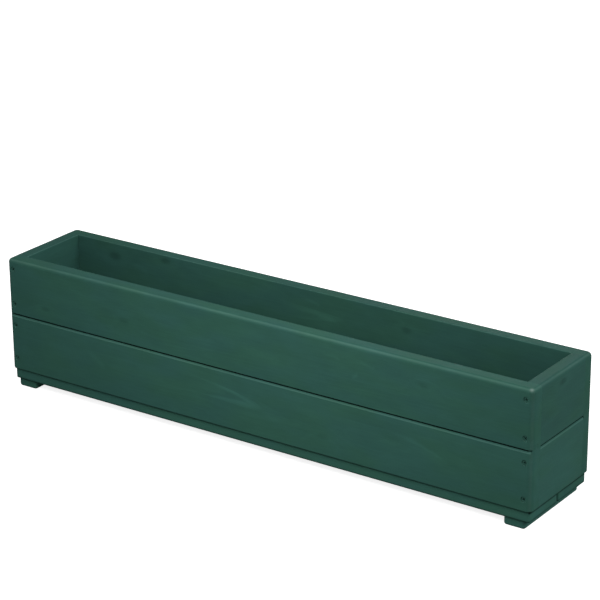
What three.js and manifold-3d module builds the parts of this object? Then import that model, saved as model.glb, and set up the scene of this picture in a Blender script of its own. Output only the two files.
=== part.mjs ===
// A wooden window box planter. Four walls of two tongue-and-groove courses are screwed together at
// the corners. They stand on two base boards with a drainage gap between them, and two cross
// battens under the base are the feet. Each screw sinks through one piece into the next.
//
// Millimetres, +Z up, the front towards -Y. The origin is on the floor under the centre of the box.

import * as THREE from 'three';
import { mergeVertices } from 'three/addons/utils/BufferGeometryUtils.js';
import Module from 'manifold-3d';

const wasm = await Module();
wasm.setup();

// Walls
const LENGTH = 900;
const WIDTH = 162;
const WALL = 22; // thickness of every wall board
const LOWER_COURSE = 90; // height of the lower boards, without the tongue
const UPPER_COURSE = 87; // height of the upper boards
const JOINT_GAP = 0.25; // between two pieces that bear on each other

// Tongue and groove between the courses. Outside them the joint is an open nick over a sloped lip.
const TONGUE_THICKNESS = 7;
const TONGUE_HEIGHT = 6;
const TONGUE_EASE = 1; // chamfer along both edges of its tip
const TONGUE_CLEARANCE = 0.3;
const NICK_DEPTH = 2.5;
const NICK_BELOW = 1.6; // height cut from the lower board
const NICK_ABOVE = 0.7; // height cut from the upper board
const LIP_HEIGHT = 3;
const LIP_DEPTH = 1.1;

// Sanded edges of the finished box
const CORNER_ROUND = 8;
const RIM_ROUND = 7;
const INNER_RIM_ROUND = 1.5;
const SKIRT_ROUND = 2.5; // along the bottom of the walls

// Base
const BASE_THICKNESS = 16;
const BASE_INSET = 3.5; // behind the outside of the walls, all round
const DRAIN_GAP = 2.5; // between the two base boards
const BASE_CORNER_ROUND = 3;
const BASE_EDGE_ROUND = 2;

// Feet
const FOOT_WIDTH = 33;
const FOOT_HEIGHT = 13;
const FOOT_INSET = 3.5; // its two ends behind the front and back of the base
const LEFT_FOOT_SETBACK = 2.5; // its outer edge from the end of the base
const RIGHT_FOOT_SETBACK = 8.5;
const FOOT_CORNER_ROUND = 4.5;
const FOOT_EDGE_ROUND = 3;

// Countersunk screws. sink is how far the head lies below the face that it enters.
const CORNER_SCREW = { length: 50, shank: 4.5, head: 7.5, rim: 0.5, sink: 1 };
const BASE_SCREW = { length: 40, shank: 4.5, head: 7.5, rim: 0.5, sink: 0.5 };
const FOOT_SCREW = { length: 24, shank: 4, head: 7, rim: 0.5, sink: 0.75 };
const SCREW_CLEARANCE = 0.3;
const TIP_TAPER = 1.5; // length of the point, in shank diameters
const RECESS_SPAN = 0.55; // cross recess, in head diameters
const RECESS_SLOT = 0.16;
const RECESS_DEPTH = 0.22;
const LOWER_SCREW_MARGIN = 18.5; // screw to the edge of its board, lower course
const UPPER_SCREW_MARGIN = 16; // the same, upper course
const BASE_SCREWS_A_SIDE = 4;
const BASE_SCREW_END_MARGIN = 80;
const FOOT_SCREW_SPACING = 36; // between the two that share a base board
const SCREW_TURN = 0.65; // radians that each head is turned past the one before

// Fineness of the round surfaces
const ARC_SEGMENTS = 2; // curveSegments, which an arc doubles
const EDGE_SEGMENTS = 3;
const SCREW_SEGMENTS = 12;
const CUT_OVERRUN = 1;

const BASE_BOTTOM = FOOT_HEIGHT + JOINT_GAP;
const WALL_BOTTOM = BASE_BOTTOM + BASE_THICKNESS + JOINT_GAP;
const UPPER_BOTTOM = LOWER_COURSE + JOINT_GAP;
const WALL_HEIGHT = UPPER_BOTTOM + UPPER_COURSE;
const END_RUN = WIDTH - 2 * (WALL + JOINT_GAP); // the end boards fit between the long boards
const BASE_LENGTH = LENGTH - 2 * BASE_INSET;
const BASE_WIDTH = WIDTH - 2 * BASE_INSET;
const BASE_BOARD_WIDTH = (BASE_WIDTH - DRAIN_GAP) / 2;
const BASE_BOARD_CENTRE = (BASE_WIDTH - BASE_BOARD_WIDTH) / 2;
const FOOT_LENGTH = BASE_WIDTH - 2 * FOOT_INSET;
const FOOT_CENTRES = {
  left: LEFT_FOOT_SETBACK + FOOT_WIDTH / 2 - BASE_LENGTH / 2,
  right: BASE_LENGTH / 2 - RIGHT_FOOT_SETBACK - FOOT_WIDTH / 2,
};

const UP = new THREE.Vector3(0, 0, 1);
const SIDES = {
  front: { inward: new THREE.Vector3(0, 1, 0), toFace: WIDTH / 2, run: LENGTH },
  back: { inward: new THREE.Vector3(0, -1, 0), toFace: WIDTH / 2, run: LENGTH },
  right_end: { inward: new THREE.Vector3(-1, 0, 0), toFace: LENGTH / 2, run: END_RUN },
  left_end: { inward: new THREE.Vector3(1, 0, 0), toFace: LENGTH / 2, run: END_RUN },
};

const paintedWood = { color: 0x2e514a, roughness: 0.5, metalness: 0 };
const paintedSteel = { color: 0x2a4a44, roughness: 0.45, metalness: 0.1 };

/** A closed geometry as a solid for cutting and joining. */
function solid(geometry) {
  const bare = new THREE.BufferGeometry();
  bare.setAttribute('position', geometry.getAttribute('position'));
  bare.setIndex(geometry.getIndex());
  const merged = mergeVertices(bare);
  const corners = merged.getIndex().array;
  const triangles = [];
  for (let i = 0; i < corners.length; i += 3) {
    const [a, b, c] = corners.slice(i, i + 3);
    if (a !== b && b !== c && c !== a) {
      triangles.push(a, b, c);
    }
  }
  return new wasm.Manifold(new wasm.Mesh({
    numProp: 3,
    vertProperties: merged.getAttribute('position').array,
    triVerts: new Uint32Array(triangles),
  }));
}

/** A solid as a named mesh. */
function mesh(name, body, look) {
  const { vertProperties, triVerts } = body.getMesh();
  const geometry = new THREE.BufferGeometry();
  geometry.setAttribute('position', new THREE.BufferAttribute(vertProperties, 3));
  geometry.setIndex(new THREE.BufferAttribute(triVerts, 1));
  const material = new THREE.MeshStandardMaterial({ ...look, flatShading: true });
  const result = new THREE.Mesh(geometry, material);
  result.name = name;
  return result;
}

function roundedRectangle(length, width, radius) {
  const x = length / 2 - radius;
  const y = width / 2 - radius;
  const quarter = Math.PI / 2;
  const shape = new THREE.Shape();
  shape.absarc(x, y, radius, 0, quarter);
  shape.absarc(-x, y, radius, quarter, 2 * quarter);
  shape.absarc(-x, -y, radius, 2 * quarter, 3 * quarter);
  shape.absarc(x, -y, radius, 3 * quarter, 4 * quarter);
  return shape;
}

/** A block with round upright corners and round top and bottom edges, standing on z = 0. */
function roundedBlock(length, width, height, cornerRound, edgeRound) {
  const edge = Math.min(edgeRound, cornerRound * 0.9, height * 0.45);
  const geometry = new THREE.ExtrudeGeometry(roundedRectangle(length, width, cornerRound), {
    depth: height - 2 * edge,
    bevelThickness: edge,
    bevelSize: edge,
    bevelOffset: -edge,
    bevelSegments: EDGE_SEGMENTS,
    curveSegments: ARC_SEGMENTS,
  });
  return solid(geometry.translate(0, 0, edge));
}

/** The section of a lower board, x inwards from the outside face and y up. */
function lowerSection() {
  const outer = (WALL - TONGUE_THICKNESS) / 2;
  const inner = outer + TONGUE_THICKNESS;
  const tip = LOWER_COURSE + TONGUE_HEIGHT;
  const lip = LOWER_COURSE - NICK_BELOW;
  const shape = new THREE.Shape();
  shape.moveTo(0, 0);
  shape.lineTo(WALL, 0);
  shape.lineTo(WALL, LOWER_COURSE);
  shape.lineTo(inner, LOWER_COURSE);
  shape.lineTo(inner, tip - TONGUE_EASE);
  shape.lineTo(inner - TONGUE_EASE, tip);
  shape.lineTo(outer + TONGUE_EASE, tip);
  shape.lineTo(outer, tip - TONGUE_EASE);
  shape.lineTo(outer, LOWER_COURSE);
  shape.lineTo(NICK_DEPTH, LOWER_COURSE);
  shape.lineTo(NICK_DEPTH, lip);
  shape.lineTo(LIP_DEPTH, lip);
  shape.lineTo(0, lip - LIP_HEIGHT);
  return shape;
}

/** The section of an upper board, in the same axes as the lower one. */
function upperSection() {
  const outer = (WALL - TONGUE_THICKNESS) / 2 - TONGUE_CLEARANCE;
  const inner = WALL - outer;
  const grooveTop = LOWER_COURSE + TONGUE_HEIGHT + TONGUE_CLEARANCE;
  const shape = new THREE.Shape();
  shape.moveTo(0, UPPER_BOTTOM + NICK_ABOVE);
  shape.lineTo(NICK_DEPTH, UPPER_BOTTOM + NICK_ABOVE);
  shape.lineTo(NICK_DEPTH, UPPER_BOTTOM);
  shape.lineTo(outer, UPPER_BOTTOM);
  shape.lineTo(outer, grooveTop);
  shape.lineTo(inner, grooveTop);
  shape.lineTo(inner, UPPER_BOTTOM);
  shape.lineTo(WALL, UPPER_BOTTOM);
  shape.lineTo(WALL, WALL_HEIGHT);
  shape.lineTo(0, WALL_HEIGHT);
  return shape;
}

/** A board of that section along one side of the box, standing in the walls' frame. */
function boardBlank(section, side) {
  const { inward, toFace, run } = SIDES[side];
  const along = new THREE.Vector3().crossVectors(inward, UP);
  const place = new THREE.Matrix4().makeBasis(inward, UP, along);
  place.setPosition(inward.clone().multiplyScalar(-toFace));
  const geometry = new THREE.ExtrudeGeometry(section, {
    depth: run,
    bevelEnabled: false,
    curveSegments: ARC_SEGMENTS,
  });
  return solid(geometry.translate(0, 0, -run / 2).applyMatrix4(place));
}

/** What the round along the inner edge of the rim takes away, right round the opening. */
function rimFlare() {
  const length = LENGTH - 2 * (WALL - INNER_RIM_ROUND);
  const width = WIDTH - 2 * (WALL - INNER_RIM_ROUND);
  const foot = WALL_HEIGHT - INNER_RIM_ROUND;
  const height = INNER_RIM_ROUND + CUT_OVERRUN;
  const slab = new THREE.BoxGeometry(length, width, height).translate(0, 0, foot + height / 2);
  let flare = solid(slab);
  for (const [run, turn, reach] of [[length, Math.PI / 2, width / 2], [width, 0, length / 2]]) {
    for (const sign of [-1, 1]) {
      const rod = new THREE.CylinderGeometry(
        INNER_RIM_ROUND, INNER_RIM_ROUND, run + 2 * CUT_OVERRUN, 8 * ARC_SEGMENTS,
      );
      rod.translate(sign * reach, 0, foot);
      flare = flare.subtract(solid(rod.applyMatrix4(new THREE.Matrix4().makeRotationZ(turn))));
    }
  }
  return flare;
}

/** The radius and depth of a screw's outline, from the top of its head to its point. */
function screwOutline(screw) {
  const head = screw.head / 2;
  const shank = screw.shank / 2;
  return [
    new THREE.Vector2(0, 0),
    new THREE.Vector2(head, 0),
    new THREE.Vector2(head, screw.rim),
    new THREE.Vector2(shank, screw.rim + head - shank),
    new THREE.Vector2(shank, screw.length - TIP_TAPER * screw.shank),
    new THREE.Vector2(0, screw.length),
  ];
}

/** The hole for a screw: its outline with clearance all round, open above the sunken head. */
function holeOutline(screw) {
  const head = screw.head / 2 + SCREW_CLEARANCE;
  const shank = screw.shank / 2 + SCREW_CLEARANCE;
  const bottom = screw.length + SCREW_CLEARANCE;
  const mouth = -screw.sink - CUT_OVERRUN;
  return [
    new THREE.Vector2(0, mouth),
    new THREE.Vector2(head, mouth),
    new THREE.Vector2(head, screw.rim),
    new THREE.Vector2(shank, screw.rim + head - shank),
    new THREE.Vector2(shank, bottom),
    new THREE.Vector2(0, bottom),
  ];
}

/** An outline turned about the Y axis. */
function turned(outline) {
  return new THREE.LatheGeometry(outline, SCREW_SEGMENTS);
}

/** One slot of the cross recess, cut down into the head along +Y. */
function recessSlot(length, width, depth) {
  const slot = new THREE.BoxGeometry(length, depth + CUT_OVERRUN, width);
  return solid(slot.translate(0, (depth - CUT_OVERRUN) / 2, 0));
}

function screwBody(screw) {
  const span = screw.head * RECESS_SPAN;
  const slot = screw.head * RECESS_SLOT;
  const depth = screw.head * RECESS_DEPTH;
  const cross = recessSlot(span, slot, depth).add(recessSlot(slot, span, depth));
  return solid(turned(screwOutline(screw))).subtract(cross);
}

/** The heights of the four screws in one corner, from the bottom of the walls. */
function cornerScrewHeights() {
  return [
    LOWER_SCREW_MARGIN,
    LOWER_COURSE - LOWER_SCREW_MARGIN,
    UPPER_BOTTOM + UPPER_SCREW_MARGIN,
    WALL_HEIGHT - UPPER_SCREW_MARGIN,
  ];
}

/** Screws through the front and back boards into the end boards. */
function cornerScrewSites() {
  const sites = [];
  for (const [face, sign, tilt] of [['front', -1, 0], ['back', 1, Math.PI]]) {
    for (const [end, along] of [['left', -1], ['right', 1]]) {
      for (const [i, height] of cornerScrewHeights().entries()) {
        const x = along * (LENGTH - WALL) / 2;
        const y = sign * (WIDTH / 2 - CORNER_SCREW.sink);
        const at = new THREE.Vector3(x, y, WALL_BOTTOM + height);
        sites.push({ name: `${face}_${end}_screw_${i + 1}`, face, end, at, tilt });
      }
    }
  }
  return sites;
}

/** Screws up through the base boards into the long walls. */
function baseScrewSites() {
  const sites = [];
  const first = BASE_SCREW_END_MARGIN - LENGTH / 2;
  const pitch = (LENGTH - 2 * BASE_SCREW_END_MARGIN) / (BASE_SCREWS_A_SIDE - 1);
  for (const [face, sign] of [['front', -1], ['back', 1]]) {
    for (let i = 0; i < BASE_SCREWS_A_SIDE; i++) {
      const y = sign * (WIDTH - WALL) / 2;
      const at = new THREE.Vector3(first + i * pitch, y, BASE_BOTTOM + BASE_SCREW.sink);
      sites.push({ name: `base_${face}_screw_${i + 1}`, face, at, tilt: Math.PI / 2 });
    }
  }
  return sites;
}

/** Screws up through the feet into the base boards, two in each board at each foot. */
function footScrewSites() {
  const sites = [];
  for (const end of ['left', 'right']) {
    let number = 1;
    for (const [face, sign] of [['front', -1], ['back', 1]]) {
      for (const step of [-0.5, 0.5]) {
        const y = sign * BASE_BOARD_CENTRE + step * FOOT_SCREW_SPACING;
        const at = new THREE.Vector3(FOOT_CENTRES[end], y, FOOT_SCREW.sink);
        sites.push({ name: `${end}_foot_screw_${number}`, face, end, at, tilt: Math.PI / 2 });
        number += 1;
      }
    }
  }
  return sites;
}

/** A body, at that height in the box, with the holes of those screws cut from it. */
function drilled(body, height, screw, sites) {
  let result = body;
  for (const { at, tilt } of sites) {
    const hole = turned(holeOutline(screw)).rotateX(tilt);
    result = result.subtract(solid(hole.translate(at.x, at.y, at.z - height)));
  }
  return result;
}

function screws(screw, sites) {
  const group = new THREE.Group();
  const body = screwBody(screw);
  for (const [i, { name, at, tilt }] of sites.entries()) {
    const piece = mesh(name, body, paintedSteel);
    piece.position.copy(at);
    piece.rotation.set(tilt, i * SCREW_TURN, 0);
    group.add(piece);
  }
  return group;
}

/** The eight wall boards, sanded to one round outside after they are joined. */
function walls(cornerSites, baseSites) {
  const group = new THREE.Group();
  group.position.z = WALL_BOTTOM;
  const skirt = roundedBlock(LENGTH, WIDTH, WALL_HEIGHT, CORNER_ROUND, SKIRT_ROUND);
  const rim = roundedBlock(LENGTH, WIDTH, WALL_HEIGHT, CORNER_ROUND, RIM_ROUND);
  const flare = rimFlare();
  for (const side of Object.keys(SIDES)) {
    const holds = ({ face, end }) => side === face || side === `${end}_end`;
    const corner = cornerSites.filter(holds);
    const below = baseSites.filter(holds);
    let lower = boardBlank(lowerSection(), side).intersect(skirt);
    lower = drilled(lower, WALL_BOTTOM, CORNER_SCREW, corner);
    lower = drilled(lower, WALL_BOTTOM, BASE_SCREW, below);
    let upper = boardBlank(upperSection(), side).intersect(rim).subtract(flare);
    upper = drilled(upper, WALL_BOTTOM, CORNER_SCREW, corner);
    group.add(mesh(`${side}_lower_board`, lower, paintedWood));
    group.add(mesh(`${side}_upper_board`, upper, paintedWood));
  }
  return group;
}

function base(baseSites, footSites) {
  const group = new THREE.Group();
  group.position.z = BASE_BOTTOM;
  for (const [face, sign] of [['front', -1], ['back', 1]]) {
    const board = roundedBlock(
      BASE_LENGTH, BASE_BOARD_WIDTH, BASE_THICKNESS, BASE_CORNER_ROUND, BASE_EDGE_ROUND,
    ).translate([0, sign * BASE_BOARD_CENTRE, 0]);
    const ofFace = (site) => site.face === face;
    const screwed = drilled(board, BASE_BOTTOM, BASE_SCREW, baseSites.filter(ofFace));
    const done = drilled(screwed, BASE_BOTTOM, FOOT_SCREW, footSites.filter(ofFace));
    group.add(mesh(`base_board_${face}`, done, paintedWood));
  }
  return group;
}

function feet(footSites) {
  const group = new THREE.Group();
  for (const [end, centre] of Object.entries(FOOT_CENTRES)) {
    const batten = roundedBlock(
      FOOT_WIDTH, FOOT_LENGTH, FOOT_HEIGHT, FOOT_CORNER_ROUND, FOOT_EDGE_ROUND,
    ).translate([centre, 0, 0]);
    const done = drilled(batten, 0, FOOT_SCREW, footSites.filter((site) => site.end === end));
    group.add(mesh(`foot_batten_${end}`, done, paintedWood));
  }
  return group;
}

const cornerSites = cornerScrewSites();
const baseSites = baseScrewSites();
const footSites = footScrewSites();

const group = new THREE.Group();
group.add(walls(cornerSites, baseSites));
group.add(base(baseSites, footSites));
group.add(feet(footSites));
group.add(screws(CORNER_SCREW, cornerSites));
group.add(screws(BASE_SCREW, baseSites));
group.add(screws(FOOT_SCREW, footSites));

export default group;
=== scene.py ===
"""A painted wooden window box planter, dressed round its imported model.

Metres, +Z up, the front towards -Y, the feet standing at z = 0. Each wooden piece and each screw is
made again as a fine mesh in the place of its CAD node. Each board has a procedural paint with its
own growth rings, knots and brush marks.
"""

import math

import bmesh
import bpy
import numpy as np
from mathutils import Matrix, Vector


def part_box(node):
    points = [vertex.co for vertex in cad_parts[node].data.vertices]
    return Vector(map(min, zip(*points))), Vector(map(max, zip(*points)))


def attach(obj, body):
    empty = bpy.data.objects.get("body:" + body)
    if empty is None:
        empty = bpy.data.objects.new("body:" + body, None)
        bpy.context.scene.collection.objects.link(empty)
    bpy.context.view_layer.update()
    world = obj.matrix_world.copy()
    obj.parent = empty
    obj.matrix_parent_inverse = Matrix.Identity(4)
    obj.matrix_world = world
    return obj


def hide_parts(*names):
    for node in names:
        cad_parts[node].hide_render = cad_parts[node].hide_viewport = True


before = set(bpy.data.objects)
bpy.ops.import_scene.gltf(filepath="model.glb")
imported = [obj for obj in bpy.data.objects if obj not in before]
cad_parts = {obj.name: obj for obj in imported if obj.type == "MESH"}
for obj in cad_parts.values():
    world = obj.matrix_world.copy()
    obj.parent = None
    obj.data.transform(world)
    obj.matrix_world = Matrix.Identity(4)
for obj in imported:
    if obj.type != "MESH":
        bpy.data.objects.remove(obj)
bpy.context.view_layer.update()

MM = 0.001

# The photograph's viewpoint, solved from the box's outline, groove and base lines
CAMERA_AZIMUTH = math.radians(34.851)
CAMERA_ELEVATION = math.radians(21.109)
CAMERA_ROLL = math.radians(-0.431)
CAMERA_DISTANCE = 3.343832
CAMERA_TARGET = Vector((0.026524, 0, 0.215549))
CAMERA_SENSOR = 36
CAMERA_LENS = 142.282

# The walls as one box, their thickness, and where the courses meet, from the imported model
WALLS_LOW, BOARD_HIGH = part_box("front_lower_board")
UPPER_LOW, UPPER_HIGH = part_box("front_upper_board")
BASE_LOW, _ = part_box("base_board_front")
WALLS_HIGH = Vector((BOARD_HIGH.x, -WALLS_LOW.y, UPPER_HIGH.z))
WALL = BOARD_HIGH.y - WALLS_LOW.y
SEAM = 0.04 * MM  # hairline that the paint leaves between two boards
SHOULDER = UPPER_LOW.z - SEAM  # top of the lower boards, at the foot of the tongue
END_HALF_RUN = WALLS_HIGH.y - WALL - SEAM

# Tongue, groove and the open nick on the outside of the joint, over a sloped lip
TONGUE_OUTER = 7.5 * MM
TONGUE_INNER = 14.5 * MM
TONGUE_EASE = 1 * MM
TONGUE_CLEARANCE = 0.3 * MM
TONGUE_TOP = BOARD_HIGH.z
NICK_DEPTH = 2.5 * MM
NICK_BELOW = 1.81 * MM  # height of the nick in the lower board
NICK_ABOVE = 0.7 * MM
NICK_SHADE = 0.88  # painted shade: how much darker the paint is in there
LIP_HEIGHT = 3.1 * MM
LIP_DEPTH = 1.2 * MM
UPPER_EASE = 0.3 * MM

# Sanded edges
CORNER_ROUND = 7.5 * MM
RIM_ROUND = 6 * MM
RIM_WANDER = 0.35 * MM  # how much the hand-sanded round of the rim varies
INNER_RIM_ROUND = 1.5 * MM
SKIRT_ROUND = 2.5 * MM
BASE_ROUNDS = {"corner": 3 * MM, "top": 2 * MM, "bottom": 2 * MM}
FOOT_ROUNDS = {"corner": 4.5 * MM, "top": 3 * MM, "bottom": 3 * MM}

# Fineness of the lattices
FINE = 0.55 * MM
MEDIUM = 3 * MM
COARSE = 9 * MM
BY_CORNER = 2 * MM  # reach of the fine cells about the corners of the opening
SMOOTH_ANGLE = math.radians(32)
HEAD_SMOOTH_ANGLE = math.radians(50)
TINY = 2e-6  # edges shorter than this are merged after the holes are cut

# The driving sizes of each kind of screw
CORNER_SCREW = {"head": 7.5 * MM, "rim": 0.5 * MM, "shank": 4.5 * MM, "length": 50 * MM, "sink": 1 * MM}
BASE_SCREW = {"head": 7.5 * MM, "rim": 0.5 * MM, "shank": 4.5 * MM, "length": 40 * MM, "sink": 0.5 * MM}
FOOT_SCREW = {"head": 7 * MM, "rim": 0.5 * MM, "shank": 4 * MM, "length": 24 * MM, "sink": 0.75 * MM}
SCREW_TURN = 0.65  # how far each screw of a row is turned past the one before
SCREW_STEPS = 32
THREAD_PITCH = 2 * MM
HOLE_CLEARANCE = 0.12 * MM
SHANK_CLEARANCE = 0.3 * MM
HOLE_LIP = 0.8 * MM  # how far the paint softens a hole's mouth
HOLE_STEPS = 48


# --- camera, floor and light --------------------------------------------------------------------

def make_camera():
    """The camera at the photograph's viewing angle."""
    azimuth, elevation = CAMERA_AZIMUTH, CAMERA_ELEVATION
    back = Vector((
        math.sin(azimuth) * math.cos(elevation),
        -math.cos(azimuth) * math.cos(elevation),
        math.sin(elevation),
    ))
    right = back.cross(Vector((0, 0, -1))).normalized()
    up = back.cross(right)
    level = Matrix((right, up, back)).transposed()
    turned = level @ Matrix.Rotation(CAMERA_ROLL, 3, "Z")
    data = bpy.data.cameras.new("camera")
    data.sensor_width = CAMERA_SENSOR
    data.lens = CAMERA_LENS
    camera = bpy.data.objects.new("camera", data)
    camera.matrix_world = Matrix.Translation(CAMERA_TARGET + back * CAMERA_DISTANCE) @ turned.to_4x4()
    bpy.context.scene.collection.objects.link(camera)
    bpy.context.scene.camera = camera


make_camera()
bpy.context.scene.view_settings.view_transform = "Standard"


class Shader:
    """A material, lamp or world whose nodes are made by plain calls."""

    def __init__(self, tree):
        self.nodes = tree.nodes
        self.links = tree.links

    def feed(self, socket, value):
        if isinstance(value, bpy.types.NodeSocket):
            self.links.new(value, socket)
        else:
            socket.default_value = value

    def node(self, kind, settings=None, **inputs):
        """A node by its type. An input's name is its label, with _ for a space, or _0 for its index."""
        made = self.nodes.new("ShaderNode" + kind)
        for key, value in (settings or {}).items():
            setattr(made, key, value)
        for label, value in inputs.items():
            index = label.strip("_")
            key = int(index) if index.isdigit() else label.replace("_", " ")
            self.feed(made.inputs[key], value)
        return made

    def math(self, operation, *values):
        made = self.node("Math", {"operation": operation})
        for socket, value in zip(made.inputs, values):
            self.feed(socket, value)
        return made.outputs[0]

    def total(self, *values):
        result = values[0]
        for value in values[1:]:
            result = self.math("ADD", result, value)
        return result

    def times(self, *values):
        result = values[0]
        for value in values[1:]:
            result = self.math("MULTIPLY", result, value)
        return result

    def left(self, *values):
        """What is left of 1 when the product of the values is taken away."""
        return self.math("SUBTRACT", 1.0, self.times(*values))

    def length(self, x, y):
        return self.math("SQRT", self.total(self.math("POWER", x, 2), self.math("POWER", y, 2)))

    def weighted(self, start, fields, weights):
        """The start plus each named field times its weight."""
        return self.total(start, *(self.times(fields[name], weight) for name, weight in weights.items()))

    def bell(self, value, width):
        """1 where the value is 0, falling to nothing a few widths away."""
        scaled = self.math("DIVIDE", value, width)
        return self.math("EXPONENT", self.math("MULTIPLY", self.math("POWER", scaled, 2), -1))

    def ramp(self, value, start, end, low=0.0, high=1.0):
        """A smooth step from low to high as the value goes from start to end."""
        made = self.node(
            "MapRange", {"interpolation_type": "SMOOTHSTEP"},
            Value=value, From_Min=start, From_Max=end, To_Min=low, To_Max=high,
        )
        return made.outputs[0]

    def vector(self, x, y, z):
        return self.node("CombineXYZ", X=x, Y=y, Z=z).outputs[0]

    def scaled(self, vector, factor):
        return self.node("VectorMath", {"operation": "SCALE"}, _0=vector, Scale=factor).outputs[0]

    def mixed(self, share, first, second):
        """The first colour where the share is 0, and the second where it is 1."""
        return self.node("Mix", {"data_type": "RGBA"}, _0=share, _6=first, _7=second).outputs[2]

    def parts(self, output):
        """X, Y and Z of the place on the object ("Object") or of its direction there ("Normal")."""
        return self.node("SeparateXYZ", Vector=self.node("TexCoord").outputs[output]).outputs

    def noise(self, vector, scale, detail=2.0, roughness=0.5):
        """Noise about 0, mostly between -0.3 and 0.3."""
        made = self.node("TexNoise", Vector=vector, Scale=scale, Detail=detail, Roughness=roughness)
        return self.math("SUBTRACT", made.outputs[0], 0.5)


def new_material(name):
    material = bpy.data.materials.new(name)
    material.use_nodes = True
    return material, Shader(material.node_tree)


def seen_directly(shader):
    """1 for camera, glossy and transmission rays."""
    rays = shader.node("LightPath").outputs
    both = shader.math("MAXIMUM", rays["Is Camera Ray"], rays["Is Glossy Ray"])
    return shader.math("MAXIMUM", both, rays["Is Transmission Ray"])


FLOOR_HALF = 7.0
FLOOR_LEVEL = -0.1 * MM  # a hair under the feet
FLOOR_BOUNCE = (0.3, 0.3, 0.3, 1)  # the floor's colour for the light that it throws back
FLOOR_SEEN = (0.6, 0.6, 0.6, 1)  # its colour where it is seen directly
FLOOR_LIFT = 0.84  # added there, so that it reads as white round the shadow
FLOOR_DARK = (420 * MM, 28 * MM)  # half length and width of the part under the box with no such lift
FLOOR_DARK_FADE = 15 * MM
AMBIENT = 0.4


def make_floor():
    """A pale floor, which is clear from below so that the underside can be looked at."""
    half = FLOOR_HALF
    corners = [(x, y, FLOOR_LEVEL) for x, y in ((-half, -half), (half, -half), (half, half), (-half, half))]
    data = bpy.data.meshes.new("floor")
    data.from_pydata(corners, [], [(0, 1, 2, 3)])
    floor = bpy.data.objects.new("floor", data)
    bpy.context.scene.collection.objects.link(floor)
    material, shader = new_material("floor")
    shader.nodes.clear()
    seen = seen_directly(shader)
    matt = shader.node("BsdfDiffuse", Color=shader.mixed(seen, FLOOR_BOUNCE, FLOOR_SEEN)).outputs[0]
    place = shader.parts("Object")
    under = 1.0
    for letter, reach in zip("XY", FLOOR_DARK):
        far = shader.math("ABSOLUTE", place[letter])
        under = shader.times(under, shader.ramp(far, reach + FLOOR_DARK_FADE, reach))
    lift = shader.times(seen, shader.left(under), FLOOR_LIFT)
    glow = shader.node("Emission", Strength=lift).outputs[0]
    both = shader.node("AddShader", _0=matt, _1=glow).outputs[0]
    behind = shader.node("NewGeometry").outputs["Backfacing"]
    clear = shader.node("BsdfTransparent").outputs[0]
    surface = shader.node("MixShader", _0=behind, _1=both, _2=clear).outputs[0]
    shader.node("OutputMaterial", Surface=surface)
    data.materials.append(material)


def make_world():
    world = bpy.data.worlds.new("studio")
    world.use_nodes = True
    shader = Shader(world.node_tree)
    shader.nodes.clear()
    strength = shader.ramp(seen_directly(shader), 0.0, 1.0, AMBIENT, 1.0)
    background = shader.node("Background", Color=(1, 1, 1, 1), Strength=strength).outputs[0]
    shader.node("OutputWorld", Surface=background)
    bpy.context.scene.world = world


# name: place, what it looks at, width and height in metres, power in watts
LAMPS = {
    "key_soft": ((0.067, -0.525, 0.665), (0.12, 0, 0.12), (0.8, 0.5), 5.7),
    "right_soft": ((1.88, 0.18, 1.32), (0.3, 0, 0.1), (0.7, 0.7), 24),
    "back_soft": ((-0.5, 1.9, 0.65), (0, 0, 0.12), (1.0, 0.6), 13),
    "left_soft": ((-1.9, 0.35, 0.75), (-0.4, 0, 0.1), (0.7, 0.6), 6),
}


def make_lamps():
    for name, (place, target, size, power) in LAMPS.items():
        data = bpy.data.lights.new(name, "AREA")
        data.shape = "RECTANGLE"
        data.size, data.size_y = size
        data.energy = power
        lamp = bpy.data.objects.new(name, data)
        lamp.location = place
        towards = Vector(target) - Vector(place)
        lamp.rotation_mode = "QUATERNION"
        lamp.rotation_quaternion = towards.to_track_quat("-Z", "Y")
        lamp.visible_camera = False
        bpy.context.scene.collection.objects.link(lamp)


make_floor()
make_world()
make_lamps()


# --- paint --------------------------------------------------------------------------------------

PAINT = (0.0256, 0.0800, 0.0625)
PAINT_GREENER = (0.0256, 0.0806, 0.0592, 1)
PAINT_BLUER = (0.0256, 0.0794, 0.0660, 1)
HUE_SPREAD = 0.22  # value of the hue's noise at which the paint is wholly the one or the other
END_BLUE_LIGHT_TINT = -0.10  # painted tint of a bluer light on the end boards, which moves their hue towards the bluer paint
PAINT_SHINE = 0.004  # specular level of the paint, which is nearly matt
ROUGHNESS = 0.44
RELIEF = 0.12 * MM  # depth of the grain and the brush marks
PALE_WEAR_AND_HIGHLIGHT = (0.013, 0.013, 0.013)  # what rounded edges add: partly pale wood under thin paint, partly a painted highlight
UP_EDGE_HIGHLIGHT = 0.12  # painted highlight: how much lighter the paint is on rounded edges that face up
LIP_HIGHLIGHT = 0.24  # painted highlight: how much lighter it is on the sloped lip under the nick
RIM_SHADE = 0.11  # painted shade: how much darker it is on the flat of the rim, which faces up
EDGE_SHADE = 0.4  # painted shade: how much darker it is on edges that face down
SEAM_SHADE = 0.4  # painted shade: how much darker it is along the line between the walls and the base
SEAM_SPREAD = 1.6 * MM
END_SEAM_SHADE = 0.55  # what the box's ends add to that painted shade, and to its spread
END_SEAM_SPREAD = 0.6 * MM
END_SEAM_DROP = 1.2 * MM  # how much lower the line lies there
BASE_EDGE_SHADE = 0.7  # painted shade: how much darker it is along the foot of the base boards
BASE_EDGE_SPREAD = 2.4 * MM
CORNER_HIGHLIGHT = (0.4449, -0.0778, 0.2052)  # where a painted highlight sits at one corner, laid on in the pale colour
CORNER_HIGHLIGHT_REACH = 2.4 * MM
CORNER_HIGHLIGHT_LIFT = 7.0
CORNER_HIGHLIGHT_BOARDS = ("front_upper_board", "right_end_upper_board")
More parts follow.
